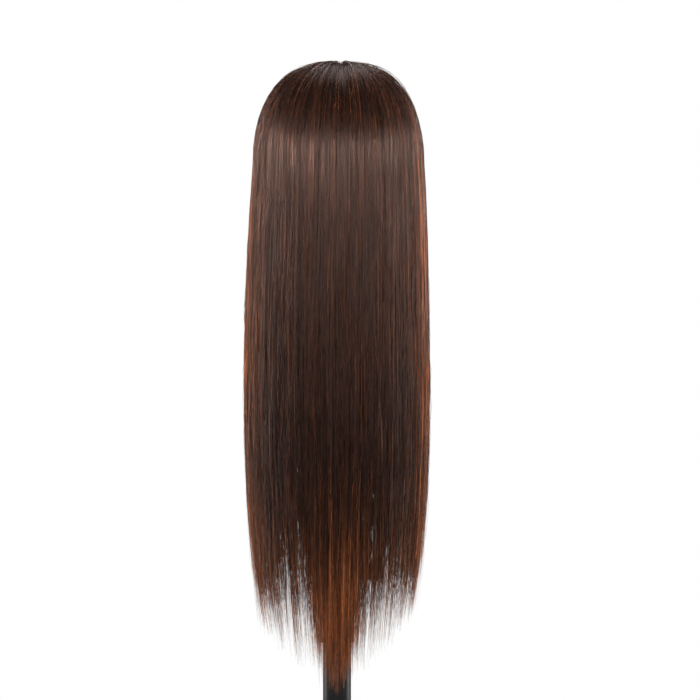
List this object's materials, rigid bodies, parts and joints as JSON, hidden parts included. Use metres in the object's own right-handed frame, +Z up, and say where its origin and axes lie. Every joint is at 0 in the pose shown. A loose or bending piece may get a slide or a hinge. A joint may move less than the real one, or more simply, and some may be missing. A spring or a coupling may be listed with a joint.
{
  "type": "mannequin training head",
  "caption": "Hairdressing training head with long straight brown hair, on a telescopic, swivelling and tilting column with a table clamp.",
  "frame": {"origin": "on the column's axis, at the underside of the upper jaw's rubber pad, where the table top is", "axes": "+Z up along the column, the face looks towards -Y, the hair hangs over the back towards +Y, +X is the mannequin's left"},
  "size_m": [0.184, 0.2152, 0.8965],
  "materials": {
    "cast_black": "satin",
    "black_steel": "satin",
    "bright_steel": "satin",
    "brass": "satin",
    "black_plastic": "satin",
    "white_nylon": "matte",
    "rubber": "matte",
    "vinyl_skin": "satin",
    "foam": "matte",
    "lashes": "satin",
    "hair": "satin"
  },
  "bodies": {
    "clamp": {"clamp_frame": "cast_black", "jaw_pad": "rubber", "pole_screw": "bright_steel", "pole_tube": "black_steel", "pole_bush": "black_plastic"},
    "foot": {"pressure_foot": "bright_steel", "foot_rubber": "rubber", "foot_clip": "bright_steel"},
    "screw": {"clamp_screw": "bright_steel"},
    "bar": {"tommy_bar": "bright_steel", "bar_end_left": "black_plastic", "bar_end_right": "black_plastic"},
    "sleeve": {"sleeve_tube": "black_steel", "sleeve_bush": "black_plastic", "swivel_bush": "white_nylon", "lever_slug": "brass"},
    "height_lever": {"lever_stud": "bright_steel", "lever_handle": "black_plastic"},
    "swivel_lock": {"swivel_screw": "bright_steel"},
    "swivel": {"yoke": "cast_black", "pivot_bolt": "bright_steel", "friction_washer_left": "white_nylon", "friction_washer_right": "white_nylon", "knob_washer": "bright_steel"},
    "tilt_lock": {"tilt_knob": "black_plastic", "knob_insert": "brass"},
    "head": {"tilt_tongue": "cast_black", "neck_plug": "black_plastic", "plug_screw_front": "bright_steel", "plug_screw_back": "bright_steel", "neck_socket": "white_nylon", "neck_base_plate": "black_plastic", "foam_core": "foam", "head_skin": "vinyl_skin", "eyelash_left": "lashes", "eyelash_right": "lashes", "hair_cap": "hair", "hair_back": "hair", "hair_left": "hair", "hair_right": "hair"}
  },
  "joints": [
    {"name": "foot_travel", "type": "slide", "parent": "clamp", "child": "foot", "axis": [0, 0, 1], "range_m": [-0.024, 0.027]},
    {"name": "clamp_screw_turn", "type": "hinge", "parent": "foot", "child": "screw", "pos_m": [0, 0, -0.055], "axis": [0, 0, 1], "range_deg": [-2881, 3241]},
    {"name": "tommy_bar_slide", "type": "slide", "parent": "screw", "child": "bar", "axis": [1, 0, 0], "range_m": [-0.03, 0.03]},
    {"name": "height_slide", "type": "slide", "parent": "clamp", "child": "sleeve", "axis": [0, 0, 1], "range_m": [-0.025, 0.07]},
    {"name": "height_lever_turn", "type": "hinge", "parent": "sleeve", "child": "height_lever", "pos_m": [-0.03, 0, 0.1925], "axis": [1, 0, 0], "range_deg": [-100, 0]},
    {"name": "swivel_lock_turn", "type": "hinge", "parent": "sleeve", "child": "swivel_lock", "pos_m": [0.025, 0, 0.334], "axis": [1, 0, 0], "range_deg": [0, 540]},
    {"name": "column_swivel", "type": "hinge", "parent": "sleeve", "child": "swivel", "pos_m": [0, 0, 0.345], "axis": [0, 0, 1], "continuous": true},
    {"name": "tilt_knob_turn", "type": "hinge", "parent": "swivel", "child": "tilt_lock", "pos_m": [0.025, 0, 0.372], "axis": [1, 0, 0], "range_deg": [0, 540]},
    {"name": "head_tilt", "type": "hinge", "parent": "swivel", "child": "head", "pos_m": [0, 0, 0.372], "axis": [1, 0, 0], "range_deg": [-30, 30], "deforming": ["hair_back", "hair_left", "hair_right"]}
  ],
  "couplings": [
    {"joint": "clamp_screw_turn", "follows": "foot_travel", "rad_per_m": 2094.4}
  ]
}
